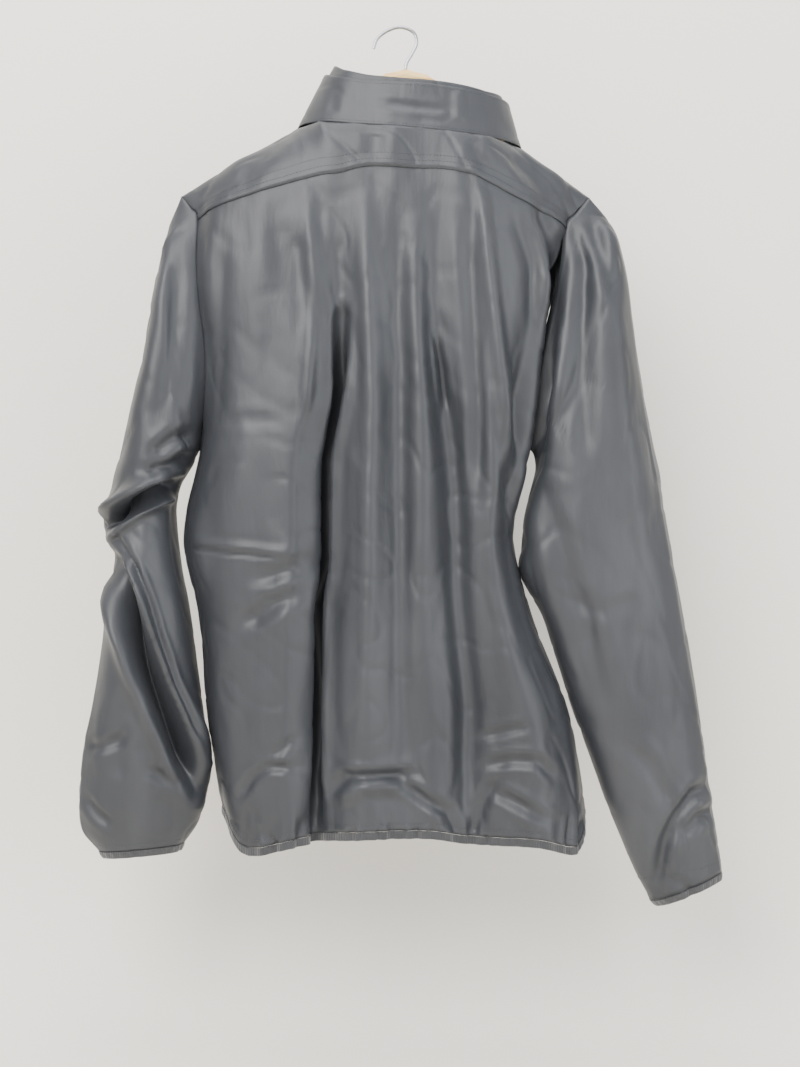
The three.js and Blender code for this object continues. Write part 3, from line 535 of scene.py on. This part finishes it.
def ribbedElastic():
    # knitted elastic: matte, with close ribs that are 1.2 mm apart and drawn twice as coarse
    material, tree, shader = startMaterial("ribbedElastic", {
        "Roughness": 0.7, "IOR": 1.5, "Sheen Weight": 0.3, "Sheen Roughness": 0.6})
    place = addNode(tree, "ShaderNodeTexCoord").outputs["Object"]
    cloud = addNode(tree, "ShaderNodeTexNoise", {"Scale": 90.0, "Detail": 4.0}, {"Vector": place})
    colour = rampNode(tree, cloud.outputs["Fac"], [(0.3, srgb("#191b1f")), (0.7, srgb("#26282c"))])
    tree.links.new(colour.outputs["Color"], shader.inputs["Base Color"])
    ribs = addNode(tree, "ShaderNodeTexWave", {"Scale": bandScale(2.417), "Distortion": 0.6},
                   {"Vector": place}, bands_direction="X")
    bump = addNode(tree, "ShaderNodeBump", {"Strength": 0.5, "Distance": 0.0005},
                   {"Height": ribs.outputs["Fac"]})
    tree.links.new(bump.outputs["Normal"], shader.inputs["Normal"])
    return material


def wovenTape():
    # polyester zip tape: matte twill, its 0.5 mm ribs drawn 1.3 mm apart
    material, tree, shader = startMaterial("wovenTape", {"Roughness": 0.8, "IOR": 1.5})
    place = addNode(tree, "ShaderNodeTexCoord").outputs["Object"]
    turned = addNode(tree, "ShaderNodeMapping", {"Rotation": (0, 0.78, 0)}, {"Vector": place})
    twill = addNode(tree, "ShaderNodeTexWave", {"Scale": bandScale(1.309)},
                    {"Vector": turned.outputs["Vector"]})
    colour = rampNode(tree, twill.outputs["Fac"], [(0.2, srgb("#2c2e33")), (0.8, srgb("#3f4248"))])
    tree.links.new(colour.outputs["Color"], shader.inputs["Base Color"])
    bump = addNode(tree, "ShaderNodeBump", {"Strength": 0.3, "Distance": 0.0002},
                   {"Height": twill.outputs["Fac"]})
    tree.links.new(bump.outputs["Normal"], shader.inputs["Normal"])
    return material


def lacqueredBeech():
    # beech, sawn flat and lacquered clear: warm straw colour with fine lengthwise grain
    material, tree, shader = startMaterial("lacqueredBeech", {
        "Roughness": 0.42, "IOR": 1.5, "Coat Weight": 0.35, "Coat Roughness": 0.25})
    place = addNode(tree, "ShaderNodeTexCoord").outputs["Object"]
    laid = addNode(tree, "ShaderNodeMapping", {"Scale": (9, 60, 130)}, {"Vector": place})
    grain = addNode(tree, "ShaderNodeTexNoise", {"Scale": 1.0, "Detail": 6.0, "Distortion": 0.8},
                    {"Vector": laid.outputs["Vector"]})
    colour = rampNode(tree, grain.outputs["Fac"], [
        (0.3, srgb("#c99b52")), (0.5, srgb("#e2b96c")), (0.7, srgb("#f0cf8b"))])
    tree.links.new(colour.outputs["Color"], shader.inputs["Base Color"])
    bump = addNode(tree, "ShaderNodeBump", {"Strength": 0.15, "Distance": 0.0003},
                   {"Height": grain.outputs["Fac"]})
    tree.links.new(bump.outputs["Normal"], shader.inputs["Normal"])
    return material


def drawnSteel(name, tone, roughness):
    # drawn or cast metal with a fine scratched polish
    material, tree, shader = startMaterial(name, {"Metallic": 1.0, "Roughness": roughness})
    place = addNode(tree, "ShaderNodeTexCoord").outputs["Object"]
    scratch = addNode(tree, "ShaderNodeTexNoise", {"Scale": 700.0, "Detail": 3.0}, {"Vector": place})
    colour = rampNode(tree, scratch.outputs["Fac"], [(0.3, srgb(tone[0])), (0.7, srgb(tone[1]))])
    tree.links.new(colour.outputs["Color"], shader.inputs["Base Color"])
    bump = addNode(tree, "ShaderNodeBump", {"Strength": 0.1, "Distance": 0.0001},
                   {"Height": scratch.outputs["Fac"]})
    tree.links.new(bump.outputs["Normal"], shader.inputs["Normal"])
    return material


nylonSettings = {
    "roughness": 0.44,
    "dark": "#292b2f",
    "middle": "#303236",
    # the pale tone is the painted sheen of the streaks
    "pale": "#383a3e",
    "threadPitch": 1.428,
}
nylon = coatedNylon("coatedNylon", nylonSettings)
elastic = ribbedElastic()
tapeMaterial = wovenTape()
beech = lacqueredBeech()
hookSteel = drawnSteel("drawnSteelWire", ("#8a8c90", "#b4b6ba"), 0.3)
zipSteel = drawnSteel("nickelledZip", ("#6b6d70", "#8f9194"), 0.35)
thread = startMaterial("polyesterThread", {"Roughness": 0.55, "Base Color": srgb("#33353b")})[0]
print("materials ready")


def finishPiece(piece, body, nodes, material):
    piece.data.materials.clear()
    piece.data.materials.append(material)
    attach(piece, body)
    if nodes:
        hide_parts(*nodes)
    return piece


# cloth of the body; the yoke laps the back panel, proud of it, and the panel is tucked under
yokeLap = {"rows": 2, "lift": 0.9, "liftFade": 2.5, "tuck": 0.5, "tuckFade": 2.0, "heldRows": 8}
hemPucker = {"count": 26, "first": -165, "step": 13, "shift": 4, "top": -758, "topShift": 20,
             "foot": -802, "wide": (2.2, 4.2), "deep": (1.4, 3.6)}
backControls = bodyControls(backLines, True)
frontControls = {side: bodyControls(frontLines[side], False) for side in frontLines}
fine = {"rows": 8, "columns": 14}
backAll = refine(backControls, fine["rows"], fine["columns"], straightRows=general["yokeRows"])
yokeEnd = general["yokeRows"] * fine["rows"]
hemPuckers = []
for k in range(hemPucker["count"]):
    shift = hemPucker["shift"]
    x = hemPucker["first"] + hemPucker["step"] * k + random.uniform(-shift, shift)
    lean = random.uniform(-shift, shift)
    topZ = hemPucker["top"] - random.uniform(0, hemPucker["topShift"])
    hemPuckers.append({"path": [(x + lean, topZ), (x, hemPucker["foot"])],
                       "wide": random.uniform(*hemPucker["wide"]),
                       "deep": random.uniform(*hemPucker["deep"])})
backDone, backNormals = clothGrid(backAll, backFolds + yokeFolds + hemPuckers, clothSettings)
neckHold = np.minimum(np.arange(len(backAll)) / yokeLap["heldRows"], 1)[:, None, None]
backDone = backAll + (backDone - backAll) * neckHold
lapEnd = yokeEnd + yokeLap["rows"]
yokeGrid = backDone[:lapEnd].copy()
backGrid = backDone[yokeEnd:].copy()
lap = np.exp(-np.arange(len(yokeGrid))[::-1] / yokeLap["liftFade"])[:, None, None]
yokeGrid += backNormals[:lapEnd] * lap * yokeLap["lift"]
under = np.exp(-np.arange(len(backGrid)) / yokeLap["tuckFade"])[:, None, None]
backGrid -= backNormals[yokeEnd:] * under * yokeLap["tuck"]
clothThick, bindingThick = general["clothThick"], general["bindingThick"]
finishPiece(gridPiece("yokeCloth", yokeGrid, clothThick), "jacket",
                                  ["back_yoke"], nylon)
finishPiece(gridPiece("backCloth", backGrid, clothThick), "jacket",
                                  ["back_panel"], nylon)

frontEdge = {"flat": 10, "fade": 40, "heldRows": 8}
frontGrids = {}
for side in ("Left", "Right"):
    grid = refine(frontControls[side], fine["rows"], fine["columns"], straightRows=general["turnRows"])
    done = clothGrid(grid, [], frontSettings)[0]
    # the edges beside the zip and at the neck lie flat
    fromZip = (np.abs(grid[..., 0]) - frontEdge["flat"]) / frontEdge["fade"]
    held = np.minimum(np.arange(len(grid)) / frontEdge["heldRows"], 1)[:, None, None]
    calm = np.clip(fromZip, 0, 1)[..., None] * held
    frontGrids[side] = grid + (done - grid) * calm
    name = "frontCloth" + side
    finishPiece(gridPiece(name, frontGrids[side], clothThick), "jacket",
                               ["front_" + side.lower()], nylon)
print("body cloth ready")


# sleeves with their cuffs, and the hem; the elastic's waves are counted in points of its edge
sleeve = {"roundness": 0.8, "rowSteps": 10, "columnSteps": 8, "heldRows": 5}
cuff = {"rows": 8, "drawnIn": 0.08, "waveTall": 0.5, "wavePoints": 4.5}
hem = {"rows": 8, "waveTall": 0.6, "wavePoints": 5}


def sleeveControls(side):
    backPit = general["yokeRows"] + general["upperRows"]
    frontPit = general["turnRows"] + general["upperRows"]
    column = 0 if side == "Left" else -1
    behind = [backControls[i, column] for i in range(backPit)]
    before = [frontControls[side][i, 0] for i in range(frontPit, 0, -1)]

    def shares(points):
        steps = [0.0] + [float(np.linalg.norm(b - a)) for a, b in zip(points, points[1:])]
        run = np.cumsum(steps)
        return run / run[-1]
    down = shares(behind + [before[0]])[:-1]
    up = shares([behind[0]] + before[::-1])[1:][::-1]
    rings = [behind + before]
    for outX, outZ, inX, inZ, deep, mid in sleeveSections[side]:
        ring = []
        for share, sign in [(s, 1) for s in down] + [(s, -1) for s in up]:
            turn = math.cos(math.pi * share)
            bulge = deep * max(math.sin(math.pi * share), 0) ** sleeve["roundness"]
            ring.append(np.array([(outX + inX) / 2 + (outX - inX) / 2 * turn, mid + sign * bulge,
                                  (outZ + inZ) / 2 + (outZ - inZ) / 2 * turn]))
        rings.append(ring)
    return np.array(rings)


sleeveGrids = {}
for side in ("Left", "Right"):
    controls = sleeveControls(side)
    grid = refine(controls, sleeve["rowSteps"], sleeve["columnSteps"], ring=True)
    done = clothGrid(grid, sleeveFolds[side], clothSettings, ring=True)[0]
    hold = np.minimum(np.arange(len(grid)) / sleeve["heldRows"], 1)[:, None, None]
    sleeveGrids[side] = grid + (done - grid) * hold
    name = "sleeveCloth" + side
    finishPiece(gridPiece(name, sleeveGrids[side], clothThick, ring=True), "jacket",
                               ["sleeve_" + side.lower()], nylon)

    # cuff elastic: a short ribbed ring, puckered by its pull
    end, prior = sleeveGrids[side][-1], sleeveGrids[side][-1 - sleeve["rowSteps"]]
    way = end.mean(axis=0) - prior.mean(axis=0)
    way /= np.linalg.norm(way)
    middle = end.mean(axis=0)
    rows = []
    gap = general["seamGap"]
    wave = cuff["waveTall"] * np.sin(np.arange(len(end)) * 2 * math.pi / cuff["wavePoints"])[:, None]
    for i in range(cuff["rows"] + 1):
        t = i / cuff["rows"]
        drawn = end + (middle - end) * cuff["drawnIn"] * t + way * (gap + (general["cuffTall"] - gap) * t)
        out = drawn - middle
        out /= np.linalg.norm(out, axis=1, keepdims=True)
        rows.append(drawn + out * wave * math.sin(math.pi * t))
    name = "cuffElastic" + side
    finishPiece(gridPiece(name, np.array(rows), bindingThick, ring=True), "jacket",
                               ["cuff_binding_" + side.lower()], elastic)
print("sleeves ready")

# hem elastic, open at the zip
hemLine = np.concatenate([frontGrids["Right"][-1][::-1], backGrid[-1][::-1][1:],
                          frontGrids["Left"][-1][1:]])
hemRows = []
hemOut = np.gradient(hemLine, axis=0)
hemOut = np.stack([hemOut[:, 1], -hemOut[:, 0], np.zeros(len(hemOut))], axis=1)
hemOut /= np.linalg.norm(hemOut, axis=1, keepdims=True)
gap = general["seamGap"]
wave = hem["waveTall"] * np.sin(np.arange(len(hemLine)) * 2 * math.pi / hem["wavePoints"])[:, None]
for i in range(hem["rows"] + 1):
    t = i / hem["rows"]
    hemRows.append(hemLine + hemOut * wave * math.sin(math.pi * t)
                   - np.array([0, 0, gap + (general["hemTall"] - gap) * t]))
finishPiece(gridPiece("hemElastic", np.array(hemRows), bindingThick), "jacket",
                                   ["hem_binding"], elastic)

# collar: an outer layer and an inner one that stands a little higher, inside it
collar = {"rows": 5, "drop": -0.6, "innerLift": 2, "inset": 3.4, "insetAtTop": 1.5, "flatFront": 26,
          "middleX": -4, "thick": 0.6, "heldRows": 8, "rowSteps": 6, "columnSteps": 12}
neckLines = frontLines["Right"][:1:-1] + backLines[8:2:-1] + frontLines["Left"][2:]
neckTops = [line["top"] for line in neckLines]


def collarControls(inner):
    rows = []
    for i in range(collar["rows"] + 1):
        up = 1 - i / collar["rows"]
        row = []
        for neck, (x, y, z, rise) in zip(neckTops, collarTops):
            neck = np.array(neck, float) + np.array([0, 0, collar["innerLift" if inner else "drop"]])
            tall = 1 + (rise / (z - neck[2]) if inner else 0)
            p = neck + (np.array([x, y, z]) - neck) * up * tall
            if inner:
                atZip = abs(p[0]) < collar["flatFront"] and p[1] < 0
                flank = np.array([0 if atZip else p[0] - collar["middleX"], p[1], 0])
                p = p - flank / np.linalg.norm(flank) * (collar["inset"] + collar["insetAtTop"] * up)
            row.append(p)
        rows.append(row)
    return np.array(rows)


collarSettings = dict(clothSettings, longSwell=0.8, smallCrumple=0.5, crispCrease=0.4)
for name, inner, node in (("collarOuterCloth", False, "collar_outer"),
                          ("collarInnerCloth", True, "collar_inner")):
    grid = refine(collarControls(inner), collar["rowSteps"], collar["columnSteps"])
    done = clothGrid(grid, [] if inner else collarFolds, collarSettings)[0]
    bottom = np.minimum(np.arange(len(grid))[::-1] / collar["heldRows"], 1)[:, None, None]
    done = grid + (done - grid) * bottom
    finishPiece(gridPiece(name, done, collar["thick"]), "jacket",
                               [node], nylon)
    if not inner:
        collarGrid = done

# zip tapes, behind the fronts: places across each tape from its toothed edge
tape = {"across": (0.3, 5, 10, 15), "behind": 1.7, "thick": 0.8, "rowSteps": 6, "columnSteps": 2}
for side, sign in (("Left", 1), ("Right", -1)):
    column = frontControls[side][:, -1]
    collarColumn = collarControls(False)[:, -1 if side == "Left" else 0]
    run = np.concatenate([collarColumn, column[1:]])
    controls = np.array([[(sign * x, p[1] + tape["behind"], p[2]) for x in tape["across"]] for p in run])
    grid = refine(controls, tape["rowSteps"], tape["columnSteps"])
    name = "zipTape" + side
    finishPiece(gridPiece(name, grid, tape["thick"]), "jacket",
                               ["zip_tape_" + side.lower()], tapeMaterial)
tapeRun = grid[:, 0]


# a bar's corners (along, aside, outward) and faces, narrower at its ends and top
barSunk = 0.35  # the share of its height that sits in the cloth
barCorners = (
    (-1, -0.55, 0), (-1, 0.55, 0), (-0.6, -1, 0), (-0.6, 1, 0), (0.6, -1, 0), (0.6, 1, 0),
    (1, -0.55, 0), (1, 0.55, 0), (-0.55, -0.5, 1), (-0.55, 0.5, 1), (0.55, -0.5, 1), (0.55, 0.5, 1),
)
barFaces = (
    (0, 2, 8), (0, 8, 9, 1), (1, 9, 3), (2, 4, 10, 8), (8, 10, 11, 9), (9, 11, 5, 3),
    (4, 6, 10), (6, 7, 11, 10), (7, 5, 11), (0, 1, 3, 5, 7, 6, 4, 2),
)


def barMesh(name, centres, ways, sizes, material, slotName):
    # many small bars in one mesh: each lies along its way, with its length, width and height
    mesh = bmesh.new()
    for centre, (way, out), (length, wide, tall) in zip(centres, ways, sizes):
        way = Vector(way).normalized()
        out = Vector(out).normalized()
        side = way.cross(out).normalized()
        corners = []
        for a, b, c in barCorners:
            corners.append(mesh.verts.new(Vector(centre) + way * a * length / 2 + side * b * wide / 2
                                          + out * (c - barSunk) * tall))
        for face in barFaces:
            mesh.faces.new([corners[k] for k in face])
    bmesh.ops.recalc_face_normals(mesh, faces=mesh.faces)
    data = bpy.data.meshes.new(name)
    mesh.to_mesh(data)
    mesh.free()
    data.polygons.foreach_set("use_smooth", [True] * len(data.polygons))
    piece = bpy.data.objects.new(name, data)
    bpy.context.collection.objects.link(piece)
    return finishPiece(piece, "jacket", [], material)


# zip teeth: a closed coil between the tapes
teeth = {"pitch": 1.8, "length": 4.6, "wide": 1.1, "tall": 1.0, "start": 12, "leftOut": 8,
         "stagger": 0.5, "ahead": 0.75, "slant": 0.12}
centres, ways, sizes = [], [], []
steps = np.linalg.norm(np.diff(tapeRun, axis=0), axis=1)
cumulative = np.concatenate([[0], np.cumsum(steps)])
for k in range(int(steps.sum() / teeth["pitch"]) - teeth["leftOut"]):
    s = teeth["start"] + k * teeth["pitch"]
    at = [float(np.interp(s, cumulative, tapeRun[:, c])) for c in range(3)]
    aside = teeth["stagger"] if k % 2 else -teeth["stagger"]
    centres.append(toScene(np.array([aside, at[1] - teeth["ahead"], at[2]])))
    ways.append(((1, 0, teeth["slant"]), (0, -1, 0)))
    sizes.append((teeth["length"] / 1000, teeth["wide"] / 1000, teeth["tall"] / 1000))
barMesh("zipTeeth", centres, ways, sizes, zipSteel, "zip_metal")


# stitches along the seams
stitch = {"pitch": 3.4, "length": 2.3, "wide": 0.6, "tall": 0.4, "proud": 0.3}


def stitchRow(lists, line, normals):
    steps = np.linalg.norm(np.diff(line, axis=0), axis=1)
    cumulative = np.concatenate([[0], np.cumsum(steps)])
    for k in range(int(cumulative[-1] / stitch["pitch"])):
        s = (k + 0.5) * stitch["pitch"]
        at = np.array([np.interp(s, cumulative, line[:, c]) for c in range(3)])
        ahead = np.array([np.interp(s + 1, cumulative, line[:, c]) for c in range(3)])
        before = np.array([np.interp(s - 1, cumulative, line[:, c]) for c in range(3)])
        out = np.array([np.interp(s, cumulative, normals[:, c]) for c in range(3)])
        lists[0].append(toScene(at + out * stitch["proud"]))
        lists[1].append((ahead - before, out))
        lists[2].append([stitch[size] / 1000 for size in ("length", "wide", "tall")])


stitches = ([], [], [])
yokeNormals = normalsOf(yokeGrid)
stitchRow(stitches, yokeGrid[-3], yokeNormals[-3])
stitchRow(stitches, yokeGrid[-6], yokeNormals[-6])
collarNormals = normalsOf(collarGrid)
stitchRow(stitches, collarGrid[-3], collarNormals[-3])
stitchRow(stitches, collarGrid[2], collarNormals[2])
backNow = normalsOf(backGrid)
stitchRow(stitches, backGrid[-3], backNow[-3])
for side in ("Left", "Right"):
    frontNow = normalsOf(frontGrids[side])
    stitchRow(stitches, frontGrids[side][-3], frontNow[-3])
    stitchRow(stitches, frontGrids[side][:, -4], frontNow[:, -4])
    sleeveNow = normalsOf(sleeveGrids[side], ring=True)
    stitchRow(stitches, sleeveGrids[side][-4], sleeveNow[-4])
barMesh("seamStitches", *stitches, thread, "jacket_cloth")
print("details ready")

# carried-over solids
for nodeName, material in (("hanger_wood", beech), ("hanger_hook", hookSteel),
                           ("zip_slider", zipSteel), ("zip_pull", zipSteel)):
    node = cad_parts[nodeName]
    node.data.materials.clear()
    node.data.materials.append(material)

# floor and wall in one sweep, light and camera
low = cadBox[0]
stageSizes = {
    "wallY": low[1] - 0.16,
    "floorZ": low[2] - 0.19,
    "wide": 3.2,
    "tall": 2.2,
    "bend": 0.25,
    "bendSteps": 12,
    "front": 2.6,
}
sweep = []
for y, z in ([(stageSizes["front"], stageSizes["floorZ"])]
             + [(stageSizes["wallY"] + stageSizes["bend"] * (1 - math.sin(a)),
                 stageSizes["floorZ"] + stageSizes["bend"] * (1 - math.cos(a)))
                for a in np.linspace(0, math.pi / 2, stageSizes["bendSteps"] + 1)]
             + [(stageSizes["wallY"], stageSizes["floorZ"] + stageSizes["tall"])]):
    sweep.append((y, z))
wallMesh = bpy.data.meshes.new("wallAndFloor")
wallMesh.from_pydata([(sx * stageSizes["wide"], y, z) for y, z in sweep for sx in (-1, 1)], [],
                     [(2 * i, 2 * i + 1, 2 * i + 3, 2 * i + 2) for i in range(len(sweep) - 1)])
wallMesh.polygons.foreach_set("use_smooth", [True] * len(wallMesh.polygons))
wall = bpy.data.objects.new("wallAndFloor", wallMesh)
bpy.context.collection.objects.link(wall)
paint = startMaterial("palePaint", {"Roughness": 0.9, "Base Color": srgb("#f1ede4")})[0]
wall.data.materials.append(paint)

lights = {
    "key": {"at": (0.9, 2.1, 0.75), "size": 1.5, "power": 80, "colour": (1.0, 0.985, 0.96)},
    "fill": {"at": (-1.7, 1.7, -0.2), "size": 1.6, "power": 26, "colour": (0.94, 0.97, 1.0)},
    "top": {"at": (0.1, 0.5, 1.1), "size": 1.1, "power": 22, "colour": (1, 1, 1)},
}
aim = Vector((0, 0, -0.45))
for name, light in lights.items():
    data = bpy.data.lights.new(name, "AREA")
    data.size, data.energy, data.color = light["size"], light["power"], light["colour"]
    lamp = bpy.data.objects.new(name, data)
    lamp.location = light["at"]
    lamp.rotation_euler = (aim - lamp.location).to_track_quat("-Z", "Y").to_euler()
    bpy.context.collection.objects.link(lamp)
world = bpy.data.worlds.new("softRoom")
world.use_nodes = True
world.node_tree.nodes["Background"].inputs["Color"].default_value = (0.97, 0.97, 1.0, 1)
world.node_tree.nodes["Background"].inputs["Strength"].default_value = 1.15
bpy.context.scene.world = world

view = {"distance": 1.85, "frameTall": 1.024, "aimX": 0.0004, "aimZ": -0.496, "clothY": 0.045}
camera = bpy.data.objects.new("camera", bpy.data.cameras.new("camera"))
camera.data.sensor_fit = "VERTICAL"
camera.data.sensor_height = 24
camera.data.lens = 24 / 2 / (view["frameTall"] / 2 / view["distance"])
camera.location = (view["aimX"], view["clothY"] + view["distance"], view["aimZ"])
camera.rotation_euler = (math.pi / 2, 0, math.pi)
bpy.context.collection.objects.link(camera)
bpy.context.scene.camera = camera

print("scene ready")
